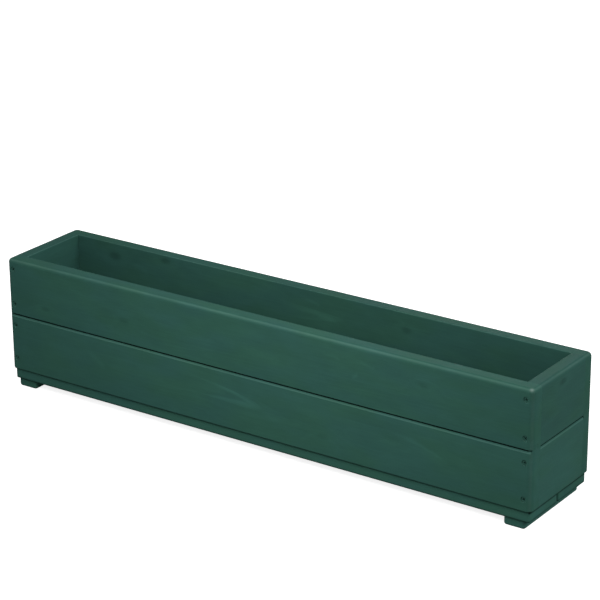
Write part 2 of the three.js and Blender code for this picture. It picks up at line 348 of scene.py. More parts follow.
HEAD_TONE = 1.12
HEAD_ROUGHNESS = 0.36
HEAD_RELIEF = 0.05 * MM
RECESS_PAINTED_SHADE = -0.75  # painted shade: what the depth of a screw's recess adds to the tone
ZINC = (0.55, 0.52, 0.45)
ZINC_TONE = 0.9
ZINC_ROUGHNESS = 0.34

# Each board's tone, where it isn't 1: partly its own paint, partly painted light that makes the lower
# boards, the base and the feet lighter
BOARD_TONE_AND_LIGHT = {
    "front_lower_board": 1.10,
    "front_upper_board": 1.03,
    "right_end_lower_board": 1.08,
    "right_end_upper_board": 0.93,
    "left_end_lower_board": 1.03,
    "left_end_upper_board": 0.96,
    "back_upper_board": 0.96,
    "base_board_front": 1.20,
    "base_board_back": 1.12,
    "foot_batten_left": 1.2,
    "foot_batten_right": 1.3,
}

# One axis letter each for along the grain, across the board's face, and its thickness
GRAIN_AXES = {"long": "XZY", "end": "YZX", "base": "XYZ", "foot": "YXZ"}

RING_SPACING = 3.4 * MM
RING_TONE, YEAR_TONE = 0.03, 0.2  # what every ring adds to the tone, and what its year adds
END_RINGS = 0.5  # how strong the rings are on the end boards
KNOT_RINGS = 2.6  # how many rings a knot pushes aside
KNOT_STRETCH = 2.1  # a knot's length over its width
ARCH_EDGE = 14 * MM  # how soon an arch comes up behind its tip
GRAIN_BEND, GRAIN_RIPPLE = 22 * MM, 2.6 * MM  # how far the grain wanders, slowly and quickly
DEPTH_WANDER = 0.7  # share of that in the board's thickness
STREAK_WOBBLE = 5 * MM

# Noise over a board: how fine it is along and across the grain, its detail and its roughness
NOISES = {
    "bend": (3.5, 16, 1.0, 0.5),
    "ripple": (14, 60, 2.0, 0.5),
    "fibre": (30, 900, 3.0, 0.6),
    "brush": (7, 420, 2.0, 0.5),
    "drift": (9, 26, 2.0, 0.5),
    "mottle": (34, 80, 3.0, 0.5),
}

# What each field of the grain adds to the paint's tone, to its roughness and to its height
TONE_OF = {
    "drift": 0.24, "mottle": 0.16, "fibre": 0.14, "brush": 0.10, "rings": 1.0,
    "arches": 0.22, "streaks": 0.17, "heart": -0.24, "halo": 0.06, "end_grain": -0.02,
}
ROUGHNESS_OF = {"drift": 0.10, "fibre": 0.10, "late": -0.03, "end_grain": 0.08, "shade": 0.5}
HEIGHT_OF = {"late": 0.30, "fibre": 0.55, "brush": 0.35, "drift": 1.2, "heart": -0.5, "halo": 0.25}

# Knots that the photograph shows, and a few on the hidden sides: place along and across, radius,
# and how dark they are
KNOTS = {
    "front_upper_board": [(282, 174, 5, 0.45), (-229, 155, 6, 0.5), (-378, 139, 5, 0.45)],
    "front_lower_board": [(118, 62, 6, 0.3)],
    "right_end_upper_board": [(-3, 190, 6, 0.8)],
    "back_upper_board": [(-357, 190, 7, 0.9), (-259, 196, 6, 0.8), (167, 182, 5, 0.7)],
    "back_lower_board": [(-120, 70, 7, 0.7), (262, 95, 5, 0.6)],
    "left_end_lower_board": [(22, 84, 6, 0.6)],
    "base_board_back": [(-210, 42, 7, 0.8), (305, 30, 6, 0.7)],
    "base_board_front": [(96, -47, 7, 0.8)],
}

# Pale pointed arches where a growth ring breaks the surface: tip along and across, spread of the
# arms, their slope, length of the arms, strength
ARCHES = {
    "front_lower_board": [(14, 74, 1.5, -0.09, 150, 0.75), (60, 68, 2.2, -0.08, 170, 0.25)],
    "front_upper_board": [(-60, 150, 3, 0.02, 160, 0.2)],
    "back_upper_board": [(60, 171, 1.6, 0.03, 120, 0.5)],
    "back_lower_board": [(-200, 78, 2.4, 0.03, 180, 0.6), (230, 60, 3.0, -0.02, 160, 0.5)],
    "base_board_front": [(-180, -38, 2.0, 0.0, 160, 0.6), (240, -50, 2.6, 0.0, 160, 0.5)],
    "base_board_back": [(60, 36, 2.2, 0.0, 180, 0.6)],
}

# Pale streaks: where one starts and ends, how far its middle bows up, its half width, strength
STREAKS = {
    "front_lower_board": [
        (-306, 94, -266, 70, 1, 5.5, 0.6), (-80, 94, 8, 75, 4, 2.2, 0.9), (-98, 71, 8, 74, 3, 2.2, 0.8),
        (-130, 84, -40, 83, 2, 6.0, 0.5), (222, 92, 323, 69, 6, 2.6, 0.9), (198, 74, 250, 78, 1, 2.4, 0.5),
        (240, 86, 318, 67, 2, 5.0, 0.4),
    ],
    "front_upper_board": [
        (166, 156, 178, 166, 0, 3.5, 0.8), (118, 183, 152, 180, 1, 2.6, 0.6),
        (172, 184, 208, 179, 1, 2.4, 0.6), (-330, 176, -250, 171, 2, 5.0, 0.3),
        (-30, 160, 60, 150, 3, 5.0, 0.25),
    ],
    "back_upper_board": [
        (-48, 175, 56, 166, 3, 3.4, 1.0), (-14, 190, 24, 187, 1, 2.6, 0.8),
        (-330, 180, -290, 172, 2, 5.0, 0.5),
    ],
    "back_lower_board": [(-60, 96, 60, 88, 4, 3.0, 0.7), (300, 74, 380, 80, -2, 3.0, 0.5)],
    "right_end_lower_board": [(-20, 80, 40, 66, 4, 6.0, 0.4)],
    "left_end_upper_board": [(-40, 168, 30, 160, 3, 5.0, 0.4)],
}


def board_noise(shader, name, along, across, depth, seed):
    """One of the NOISES, drawn out along the grain."""
    fine_along, fine_across, detail, roughness = NOISES[name]
    place = shader.vector(
        shader.times(along, fine_along),
        shader.math("MULTIPLY_ADD", across, fine_across, seed),
        shader.times(depth, fine_across),
    )
    return shader.noise(place, 1.0, detail, roughness)


def warped(shader, along, across, depth, seed):
    """Across and depth, bent by the wander of the grain."""
    bend = board_noise(shader, "bend", along, across, depth, seed)
    ripple = board_noise(shader, "ripple", along, across, depth, seed)
    shift = shader.total(shader.times(bend, GRAIN_BEND), shader.times(ripple, GRAIN_RIPPLE))
    return shader.total(across, shift), shader.total(depth, shader.times(shift, DEPTH_WANDER))


def knot_fields(shader, along, across, knots):
    """How far each knot swells the rings, and the masks of its heart and its halo."""
    swell, heart, halo = 0.0, 0.0, 0.0
    for place_along, place_across, radius, darkness in knots:
        size = radius * MM
        reach = shader.math("DIVIDE", shader.math("SUBTRACT", along, place_along * MM), KNOT_STRETCH)
        far = shader.length(reach, shader.math("SUBTRACT", across, place_across * MM))
        swell = shader.total(swell, shader.bell(far, 3.2 * size))
        heart = shader.total(heart, shader.ramp(far, 1.05 * size, 0.25 * size, 0.0, darkness))
        ring = shader.bell(shader.math("SUBTRACT", far, 1.5 * size), 0.6 * size)
        halo = shader.total(halo, shader.times(ring, darkness))
    return swell, heart, halo


def arch_field(shader, along, across, arches):
    """Brightness of the pale arches."""
    field = 0.0
    for tip_along, tip_across, spread, slope, length, strength in arches:
        behind = shader.math("SUBTRACT", tip_along * MM, along)
        middle = shader.math("MULTIPLY_ADD", behind, -slope, tip_across * MM)
        side = shader.math("SUBTRACT", across, middle)
        curve = shader.math("DIVIDE", shader.math("POWER", side, 2), spread * MM)
        inside = shader.math("SUBTRACT", behind, curve)
        rise = shader.ramp(inside, -0.5 * ARCH_EDGE, 0.4 * ARCH_EDGE)
        fall = shader.ramp(inside, 4.5 * ARCH_EDGE, 0.3 * ARCH_EDGE)
        fade = shader.ramp(shader.math("ABSOLUTE", behind), length * MM, 0.3 * length * MM)
        field = shader.total(field, shader.times(rise, fall, fade, strength))
    return field


def streak_field(shader, along, across, streaks):
    """Brightness of the pale streaks."""
    field = 0.0
    for start, start_across, end, end_across, bow, width, strength in streaks:
        share = shader.math("MULTIPLY_ADD", along, 1 / ((end - start) * MM), -start / (end - start))
        rest = shader.left(share)
        line = shader.math("MULTIPLY_ADD", share, (end_across - start_across) * MM, start_across * MM)
        bent = shader.math("MULTIPLY_ADD", shader.times(share, rest), 4 * bow * MM, line)
        near = shader.bell(shader.math("SUBTRACT", across, bent), width * MM)
        ends = shader.times(shader.ramp(share, 0.0, 0.45), shader.ramp(rest, 0.0, 0.2))
        field = shader.total(field, shader.times(near, ends, strength))
    return field


def growth_rings(shader, along, across, depth, pith, lean, swell, seed):
    """The late wood of the rings round a leaning pith, and how each year's ring differs."""
    pith_across = shader.math("MULTIPLY_ADD", along, lean[0], pith[0])
    pith_depth = shader.math("MULTIPLY_ADD", along, lean[1], pith[1])
    radius = shader.length(
        shader.math("SUBTRACT", across, pith_across), shader.math("SUBTRACT", depth, pith_depth),
    )
    rings = shader.total(shader.math("DIVIDE", radius, RING_SPACING), shader.times(swell, KNOT_RINGS))
    phase = shader.math("FRACT", rings)
    late = shader.times(shader.math("POWER", phase, 3), shader.ramp(phase, 1.0, 0.93))
    year = shader.noise(shader.vector(shader.times(rings, 0.8), seed, 0.0), 1.0, detail=1.0)
    return late, year


def grain_fields(shader, name, kind, seed, pith, lean):
    """Everything that varies over a board, by name. pith is the rings' centre, lean its slope."""
    parts = shader.parts("Object")
    along, across, depth = (parts[letter] for letter in GRAIN_AXES[kind])
    bent_across, bent_depth = warped(shader, along, across, depth, seed)
    fields = {
        key: board_noise(shader, key, along, across, depth, seed) for key in ("brush", "drift", "mottle")
    }
    fields["fibre"] = board_noise(shader, "fibre", along, bent_across, bent_depth, seed)
    swell, fields["heart"], fields["halo"] = knot_fields(shader, along, bent_across, KNOTS.get(name, []))
    fields["arches"] = arch_field(shader, along, bent_across, ARCHES.get(name, []))

    wobble = shader.noise(shader.vector(shader.times(along, 60), shader.times(across, 60), seed), 1.0)
    wavy = shader.total(across, shader.times(wobble, STREAK_WOBBLE))
    fields["streaks"] = streak_field(shader, along, wavy, STREAKS.get(name, []))

    late, year = growth_rings(shader, along, bent_across, bent_depth, pith, lean, swell, seed)
    strength = END_RINGS if kind == "end" else 1.0
    ring_tone = shader.math("MULTIPLY_ADD", year, YEAR_TONE * strength, RING_TONE * strength)
    fields["late"], fields["rings"] = late, shader.times(late, ring_tone)

    hue_place = shader.vector(
        shader.times(along, 12), shader.times(across, 30), shader.math("MULTIPLY_ADD", depth, 30, seed),
    )
    fields["hue"] = shader.noise(hue_place, 1.0, detail=1.0)
    facing = shader.math("ABSOLUTE", shader.parts("Normal")[GRAIN_AXES[kind][0]])
    fields["end_grain"] = shader.ramp(facing, 0.6, 0.95)
    return fields


def on_edge(shader):
    """How far a place is on a rounded edge, 0 on a flat face, and how far that faces down and up."""
    normal = shader.parts("Normal")
    squareness = shader.math("ABSOLUTE", normal["X"])
    for letter in "YZ":
        squareness = shader.math("MAXIMUM", squareness, shader.math("ABSOLUTE", normal[letter]))
    edge = shader.ramp(squareness, 0.985, 0.80)
    return edge, shader.ramp(normal["Z"], 0.05, -0.3), shader.ramp(normal["Z"], 0.4, 0.75)


def at_joint(shader, kind):
    """1 inside the nick between the courses, which gets painted shade, and 1 on the lip below, which gets a
    painted highlight.
    """
    place = shader.parts("Object")
    letter, reach = ("Y", WALLS_HIGH.y) if kind == "long" else ("X", WALLS_HIGH.x)
    inset = shader.math("SUBTRACT", reach, shader.math("ABSOLUTE", place[letter]))
    low, high, soft = SHOULDER - NICK_BELOW, UPPER_LOW.z + NICK_ABOVE, 0.1 * MM
    above = shader.ramp(place["Z"], low - soft, low + soft)
    below = shader.ramp(place["Z"], high + soft, high - soft)
    behind = shader.ramp(inset, 0.5 * LIP_DEPTH, 1.2 * LIP_DEPTH)
    before = shader.math("LESS_THAN", inset, NICK_DEPTH + SEAM)
    foot = shader.ramp(place["Z"], low - 1.1 * LIP_HEIGHT, low - 0.7 * LIP_HEIGHT)
    head = shader.ramp(place["Z"], low - 0.2 * LIP_HEIGHT, low - 0.7 * LIP_HEIGHT)
    outside = shader.math("LESS_THAN", inset, 1.3 * LIP_DEPTH)
    return shader.times(above, below, behind, before), shader.times(foot, head, outside)


def light_at_base(shader, kind):
    """The share of light left by painted shade along the line over the base, and along the base's foot."""
    level, normal = shader.parts("Object")["Z"], shader.parts("Normal")
    at_end = shader.ramp(shader.math("ABSOLUTE", normal["X"]), 0.3, 0.6)
    # painted shade along the line between the walls and the base
    centre = shader.math("MULTIPLY_ADD", at_end, -END_SEAM_DROP, WALLS_LOW.z)
    spread = shader.math("MULTIPLY_ADD", at_end, END_SEAM_SPREAD, SEAM_SPREAD)
    seam = shader.bell(shader.math("SUBTRACT", level, centre), spread)
    light = shader.left(seam, shader.math("MULTIPLY_ADD", at_end, END_SEAM_SHADE, SEAM_SHADE))
    if kind == "base":
        # painted shade along the foot of the base boards, not on their underside
        foot_of_board = shader.bell(shader.math("SUBTRACT", level, BASE_LOW.z), BASE_EDGE_SPREAD)
        not_under = shader.ramp(normal["Z"], -0.97, -0.85)
        light = shader.times(light, shader.left(foot_of_board, not_under, BASE_EDGE_SHADE))
    return light


def wear_and_highlight_of(shader, name, worn_and_lit, drift):
    """How far the pale colour shows: wear and painted highlight on the edges, and a painted highlight at
    one corner.
    """
    wear_and_highlight = shader.times(worn_and_lit, shader.math("MULTIPLY_ADD", drift, 1.2, 1.0))
    # painted highlight at the top of one corner
    if name in CORNER_HIGHLIGHT_BOARDS:
        place = shader.node("TexCoord").outputs["Object"]
        apart = shader.node("VectorMath", {"operation": "DISTANCE"}, _0=place, _1=CORNER_HIGHLIGHT)
        spot = shader.bell(apart.outputs["Value"], CORNER_HIGHLIGHT_REACH)
        wear_and_highlight = shader.total(wear_and_highlight, shader.times(spot, CORNER_HIGHLIGHT_LIFT))
    return wear_and_highlight


def coat(shader, colour, roughness, height, relief):
    """Feeds a paint to its material's surface."""
    surface = shader.nodes["Principled BSDF"]
    bump = shader.node("Bump", Strength=1.0, Distance=relief, Height=height).outputs[0]
    shader.feed(surface.inputs["Base Color"], colour)
    shader.feed(surface.inputs["Roughness"], roughness)
    shader.feed(surface.inputs["Normal"], bump)
    surface.inputs["Specular IOR Level"].default_value = PAINT_SHINE


def painted_wood(name, kind, seed, pith, lean):
    """Dull satin paint over softwood."""
    material, shader = new_material(f"paint_{name}")
    fields = grain_fields(shader, name, kind, seed, pith, lean)
    # the board's tone holds painted light as well as its own paint
    tone = shader.weighted(BOARD_TONE_AND_LIGHT.get(name, 1.0), fields, TONE_OF)
    edge, down, up = on_edge(shader)
    # painted shade on rounded edges that face down
    light = shader.left(edge, down, EDGE_SHADE)
    worn_and_lit = 0.0
    if kind != "base":
        # pale wear and painted highlight on rounded edges, more where they face up, none where they face
        # down
        worn_and_lit = shader.times(edge, shader.math("MULTIPLY_ADD", up, 0.5, 0.5), shader.left(down))
    if kind in ("long", "end"):
        nick, lip = at_joint(shader, kind)
        # the lip under the nick takes the pale colour as a painted highlight
        worn_and_lit = shader.total(worn_and_lit, lip)
        # painted highlights on rounded edges that face up and on the lip
        lift = shader.total(1.0, shader.times(lip, LIP_HIGHLIGHT), shader.times(edge, up, UP_EDGE_HIGHLIGHT))
        tone = shader.times(tone, lift)
        # painted shade on the upward flat of the rim
        flat_up = shader.times(up, shader.left(edge))
        # painted shade in the nick
        light = shader.times(light, shader.left(nick, NICK_SHADE), shader.left(flat_up, RIM_SHADE))
    if kind != "foot":
        light = shader.times(light, light_at_base(shader, kind))
    # painted tint of a bluer light on the end boards
    blue_light_tint = END_BLUE_LIGHT_TINT if kind == "end" else 0.0
    green = shader.ramp(fields["hue"], -HUE_SPREAD - blue_light_tint, HUE_SPREAD - blue_light_tint)
    painted = shader.scaled(shader.mixed(green, PAINT_BLUER, PAINT_GREENER), tone)
    # the pale colour is partly wear, partly painted highlight
    bare = shader.scaled(PALE_WEAR_AND_HIGHLIGHT, wear_and_highlight_of(shader, name, worn_and_lit, fields["drift"]))
    both = shader.node("VectorMath", {"operation": "ADD"}, _0=painted, _1=bare).outputs[0]
    fields["shade"] = shader.left(light)
    roughness = shader.weighted(ROUGHNESS, fields, ROUGHNESS_OF)
    coat(shader, shader.scaled(both, light), roughness, shader.weighted(0.0, fields, HEIGHT_OF), RELIEF)
    return material


def painted_head():
    """Paint over a screw's head, with painted shade in the recess, finely speckled."""
    material, shader = new_material("paint_screw_head")
    sunk = shader.ramp(shader.parts("Object")["Y"], 0.05 * MM, 0.7 * MM)
    speckle = shader.noise(shader.node("TexCoord").outputs["Object"], 900)
    tone = shader.total(HEAD_TONE, shader.times(sunk, RECESS_PAINTED_SHADE), shader.times(speckle, 0.12))
    roughness = shader.total(HEAD_ROUGHNESS, shader.times(speckle, 0.2))
    coat(shader, shader.scaled(PAINT, tone), roughness, speckle, HEAD_RELIEF)
    return material


def zinc_plate():
    """The bare plated shank inside the wood."""
    material, shader = new_material("zinc_shank")
    cloud = shader.noise(shader.node("TexCoord").outputs["Object"], 500, detail=3.0)
    tone = shader.total(ZINC_TONE, shader.times(cloud, 0.5))
    surface = shader.nodes["Principled BSDF"]
    shader.feed(surface.inputs["Base Color"], shader.scaled(ZINC, tone))
    shader.feed(surface.inputs["Roughness"], shader.total(ZINC_ROUGHNESS, shader.times(cloud, 0.3)))
    surface.inputs["Metallic"].default_value = 1.0
    return material


# --- shapes -------------------------------------------------------------------------------------

def ladder(*stops):
    """Positions from the first stop to the last. A stop is a position and the step that follows it."""
    result = [stops[0][0]]
    for (start, step), (end, _) in zip(stops, stops[1:]):
        count = max(1, math.ceil((end - start) / step - 1e-6))
        result += [start + (end - start) * (i + 1) / count for i in range(count)]
    return np.array(result)


def wander(points, wavelength, seed):
    """A smooth value between -1 and 1 that drifts from place to place."""
    random = np.random.default_rng(seed)
    waves = 5
    total = np.zeros(len(points))
    for _ in range(waves):
        direction = random.normal(size=3)
        direction /= np.linalg.norm(direction)
        pitch = wavelength * random.uniform(0.6, 1.7)
        total += np.sin(points @ direction * math.tau / pitch + random.uniform(0, math.tau))
    return total / waves


def shell_of(filled):
    """Outward quads of the filled cells of a lattice, as indices of its grid points."""
    size = np.array(filled.shape) + 1
    padded = np.pad(filled, 1)
    core = padded[1:-1, 1:-1, 1:-1]
    quads = []
    for axis in range(3):
        one, two = [(1, 2), (2, 0), (0, 1)][axis]
        for side in (0, 1):
            beside = np.roll(padded, 1 - 2 * side, axis)[1:-1, 1:-1, 1:-1]
            cells = np.argwhere(core & ~beside)
            cells[:, axis] += side
            steps = [(0, 0), (1, 0), (1, 1), (0, 1)]
            if side == 0:
                steps.reverse()
            corners = []
            for a, b in steps:
                corner = cells.copy()
                corner[:, one] += a
                corner[:, two] += b
                corners.append(np.ravel_multi_index(corner.T, size))
            quads.append(np.stack(corners, 1))
    return np.concatenate(quads)


def mesh_object(name, points, faces):
    """A smooth object of those points, without the ones that no face uses."""
    used, flat = np.unique(faces, return_inverse=True)
    data = bpy.data.meshes.new(name)
    data.from_pydata(points[used].tolist(), [], flat.reshape(faces.shape).tolist())
    data.shade_smooth()
    made = bpy.data.objects.new(name, data)
    bpy.context.scene.collection.objects.link(made)
    return made


def pulled_round(first, second, radius):
    """Square corner coordinates drawn in to a round one, both counted inwards from the faces."""
    x = radius - first
    y = radius - second
    inside = (x > 0) & (y > 0)
    length = np.where(inside, np.hypot(x, y), 1)
    scale = np.where(inside, np.maximum(x, y) / length, 1)
    return radius - x * scale, radius - y * scale


def sanded(points, low, high, corner, top, bottom):
    """Moves points of the box from low to high onto its rounded upright corners and edges."""
    low, high = np.array(low), np.array(high)
    middle, half = (low + high) / 2, (high - low) / 2
    offset = points - middle
    sign = np.where(offset < 0, -1.0, 1.0)
    inset = half - np.abs(offset)
    inset[:, 0], inset[:, 1] = pulled_round(inset[:, 0], inset[:, 1], corner)
    in_corner = (inset[:, 0] < corner) & (inset[:, 1] < corner)
    arm = np.maximum(corner - inset[:, :2], 0)
    arm_length = np.maximum(np.hypot(arm[:, 0], arm[:, 1]), 1e-12)
    nearest = (inset[:, 0] < inset[:, 1]).astype(float)
    flat_out = np.stack([nearest, 1 - nearest], 1)
    out = np.where(in_corner[:, None], arm / arm_length[:, None], flat_out)
    depth = np.where(in_corner, corner - arm_length, np.minimum(inset[:, 0], inset[:, 1]))
    height = points[:, 2]
    new_depth, from_top = pulled_round(depth, high[2] - height, top)
    new_depth, from_bottom = pulled_round(new_depth, height - low[2], bottom)
    inset[:, :2] += out * (new_depth - depth)[:, None]
    result = middle + sign * (half - inset)
    upper = height > middle[2]
    result[:, 2] = np.where(upper, high[2] - from_top, low[2] + from_bottom)
    return result


def eased_opening(points):
    """Rounds the inner edge of the rim, right round the opening."""
    reach = np.array([WALLS_HIGH.x - WALL, WALLS_HIGH.y - WALL])
    sign = np.where(points[:, :2] < 0, -1.0, 1.0)
    past = np.abs(points[:, :2]) - reach
    arm = np.maximum(past, 0)
    depth = np.hypot(arm[:, 0], arm[:, 1])
    flat = (past[:, 1] > past[:, 0]).astype(float)
    flat_out = np.stack([1 - flat, flat], 1)
    out = np.where((depth > 1e-9)[:, None], arm / np.maximum(depth, 1e-9)[:, None], flat_out)
    new_depth, from_top = pulled_round(depth, WALLS_HIGH.z - points[:, 2], INNER_RIM_ROUND)
    result = points.copy()
    result[:, :2] += sign * out * (new_depth - depth)[:, None]
    result[:, 2] = WALLS_HIGH.z - from_top
    return result


def wall_sanded(points):
    """The one rounded outside that all the wall boards share."""
    top = RIM_ROUND + RIM_WANDER * wander(points, 90 * MM, seed=5)
    rounded = sanded(points, WALLS_LOW, WALLS_HIGH, CORNER_ROUND, top, SKIRT_ROUND)
    near_rim = points[:, 2] > WALLS_HIGH.z - RIM_ROUND
    return np.where(near_rim[:, None], eased_opening(rounded), rounded)


def lower_section():
    """Depths, heights and filled cells of a lower board, and its depths drawn in at each height."""
    nick = SHOULDER - NICK_BELOW
    depths = ladder(
        (0, FINE), (SKIRT_ROUND, MEDIUM), (NICK_DEPTH, MEDIUM), (TONGUE_OUTER, MEDIUM),
        (TONGUE_INNER, MEDIUM), (WALL - SKIRT_ROUND, MEDIUM), (WALL, None),
    )
    heights = ladder(
        (WALLS_LOW.z, FINE), (WALLS_LOW.z + SKIRT_ROUND, COARSE / 2), (nick - LIP_HEIGHT, LIP_HEIGHT / 7),
        (nick, MEDIUM), (SHOULDER, MEDIUM), (TONGUE_TOP - TONGUE_EASE, MEDIUM), (TONGUE_TOP, None),
    )
    depth = ((depths[:-1] + depths[1:]) / 2)[:, None]
    height = ((heights[:-1] + heights[1:]) / 2)[None, :]
    in_tongue = (depth > TONGUE_OUTER) & (depth < TONGUE_INNER)
    filled = (height < nick) | ((height < SHOULDER) & (depth > NICK_DEPTH)) | in_tongue
    drawn = []
    for height in heights:
        eased = min(1, max(0, (height - nick) / LIP_HEIGHT + 1))
        tip = TONGUE_EASE if height > TONGUE_TOP - TONGUE_EASE / 2 else 0
        stops = [0, NICK_DEPTH, TONGUE_OUTER, TONGUE_INNER, WALL]
        moved = [LIP_DEPTH * eased ** 1.25, NICK_DEPTH, TONGUE_OUTER + tip, TONGUE_INNER - tip, WALL]
        drawn.append(np.interp(depths, stops, moved))
    return heights, filled, np.array(drawn).T


def upper_section():
    """The same of an upper board."""
    outer = TONGUE_OUTER - TONGUE_CLEARANCE
    inner = WALL - outer
    bottom = UPPER_LOW.z
    slot_top = TONGUE_TOP + TONGUE_CLEARANCE
    nick = bottom + NICK_ABOVE
    depths = ladder(
        (0, FINE), (RIM_ROUND, MEDIUM), (outer, MEDIUM), (inner, MEDIUM),
        (WALL - INNER_RIM_ROUND, FINE / 2), (WALL, None),
    )
    heights = ladder(
        (bottom, MEDIUM), (nick, UPPER_EASE / 3), (nick + UPPER_EASE, MEDIUM),
        (slot_top, COARSE / 2), (WALLS_HIGH.z - RIM_ROUND, FINE),
        (WALLS_HIGH.z - INNER_RIM_ROUND, FINE / 2), (WALLS_HIGH.z, None),
    )
    depth = ((depths[:-1] + depths[1:]) / 2)[:, None]
    height = ((heights[:-1] + heights[1:]) / 2)[None, :]
    in_slot = (depth > outer) & (depth < inner) & (height < slot_top)
    filled = ~(in_slot | ((depth < NICK_DEPTH) & (height < nick)))
    drawn = []
    for height in heights:
        eased = min(1, max(0, 1 - (height - nick) / UPPER_EASE))
        drawn.append(np.interp(depths, [0, NICK_DEPTH, WALL], [UPPER_EASE * eased ** 2, NICK_DEPTH, WALL]))
    return heights, filled, np.array(drawn).T


# How a board's run and depth lie in the box: the run's direction, then the way inwards
SIDES = {
    "front": ((1, 0), (0, 1)),
    "back": ((-1, 0), (0, -1)),
    "right_end": ((0, 1), (-1, 0)),
    "left_end": ((0, -1), (1, 0)),
}


def long_stations():
    """Stops along a long board: close at its ends and at the corners of the opening."""
    half = WALLS_HIGH.x
    corner = half - WALL
    right = ladder(
        (0, COARSE), (corner - BY_CORNER, FINE), (corner + BY_CORNER, MEDIUM),
        (half - CORNER_ROUND, FINE), (half, None),
    )
    return np.concatenate([-right[:0:-1], right])


def end_stations():
    """The same of an end board."""
    right = ladder((0, MEDIUM), (END_HALF_RUN - BY_CORNER, FINE), (END_HALF_RUN, None))
    return np.concatenate([-right[:0:-1], right])


def wall_board(side, course):
    """One board of the walls: its section drawn along its run, then sanded with the rest."""
    heights, section, drawn = lower_section() if course == "lower" else upper_section()
    stations = long_stations() if side in ("front", "back") else end_stations()
    filled = np.repeat(section[None], len(stations) - 1, 0)
    along, inwards = (np.array([*v, 0.0]) for v in SIDES[side])
    face = -inwards * np.array([WALLS_HIGH.x, WALLS_HIGH.y, 0])
    run = stations[:, None, None, None] * along
    depth = drawn[None, :, :, None] * inwards
    rise = heights[None, None, :, None] * np.array([0, 0, 1.0])
    points = (face + run + depth + rise).reshape(-1, 3)
    return mesh_object(f"{side}_{course}", wall_sanded(points), shell_of(filled))


def rounded_board(node, rounds):
    """A board with rounded corners and edges that fills a node's box."""
    low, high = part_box(node)
    edge = max(rounds.values()) + 0.2 * MM
    axes = []
    for start, end in zip(low, high):
        reach = min(edge, (end - start) * 0.49)
        axes.append(ladder((start, FINE), (start + reach, COARSE), (end - reach, FINE), (end, None)))
    grid = np.stack(np.meshgrid(*axes, indexing="ij"), -1).reshape(-1, 3)
    filled = np.ones([len(axis) - 1 for axis in axes], bool)
    return mesh_object(f"{node}_made", sanded(grid, low, high, **rounds), shell_of(filled))


def revolved(name, outline, steps):
    """A closed body turned about +Y from an outline of radius and height, axis to axis."""
    angles = np.arange(steps) * math.tau / steps
    rings = [(0.0, outline[0][1])] + [p for p in outline if p[0] > 0] + [(0.0, outline[-1][1])]
    points = []
    for radius, height in rings[1:-1]:
        points += [(radius * math.cos(a), height, radius * math.sin(a)) for a in angles]
    count = len(rings) - 2
    first, last = len(points), len(points) + 1
    points += [(0, rings[0][1], 0), (0, rings[-1][1], 0)]
    faces = []
    for j in range(steps):
        k = (j + 1) % steps
        faces.append((first, j, k))
        for i in range(count - 1):
            a, b = i * steps, (i + 1) * steps
            faces.append((a + j, b + j, b + k, a + k))
        faces.append((last, b + k, b + j))
    data = bpy.data.meshes.new(name)
    data.from_pydata(points, [], faces)
    return data


def screw_kind(node):
    """The sizes of a screw, by its node's name."""
    if "foot" in node:
        return FOOT_SCREW
    return BASE_SCREW if node.startswith("base") else CORNER_SCREW


def screw_place(node):
    """The screw's frame: its head's middle, +Y down its shank, turned so that no two slots agree."""
    low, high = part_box(node)
    middle = (low + high) / 2
    number = int(node.rsplit("_", 1)[1])
    if node.startswith("base") or "foot" in node:
        at, tilt = Vector((middle.x, middle.y, low.z)), math.pi / 2
    elif node.startswith("front"):
        at, tilt = Vector((middle.x, low.y, middle.z)), 0
    else:
        at, tilt = Vector((middle.x, high.y, middle.z)), math.pi
    turn = SCREW_TURN * number + middle.x * 40
    return Matrix.Translation(at) @ Matrix.Rotation(tilt, 4, "X") @ Matrix.Rotation(turn, 4, "Y")


def hole_mesh(kind, name):
    """What a screw's hole takes away, open past the face, with a softened mouth."""
    head = kind["head"] / 2 + HOLE_CLEARANCE
    shank = kind["shank"] / 2 + SHANK_CLEARANCE
    bottom = kind["length"] + SHANK_CLEARANCE
    lip, above = HOLE_LIP, 2 * MM
    outline = [(head + 2 * lip, -kind["sink"] - above)]
    for i in range(5):
        turn = i / 4 * math.pi / 2
        outline.append((head + lip - lip * math.sin(turn), -kind["sink"] + lip - lip * math.cos(turn)))
    outline += [(head, kind["rim"]), (shank, kind["rim"] + head - shank), (shank, bottom), (0, bottom)]
    return revolved(name, outline, HOLE_STEPS)


def recess_depth(x, z, kind):
    """Depth of the cross recess in a head, its edges softened by the paint."""
    span, slot, depth = 0.29 * kind["head"], 0.085 * kind["head"], 0.15 * kind["head"]
    soft = 0.25 * MM

    def arm(along, beside):
        inside = np.clip((slot - np.abs(beside)) / soft + 0.5, 0, 1)
        within = np.clip((span - np.abs(along)) / (2 * soft) + 0.5, 0, 1)
        return inside * within * (3 - 2 * inside) * inside

    return depth * np.clip(np.maximum(arm(x, z), arm(z, x)), 0, 1)


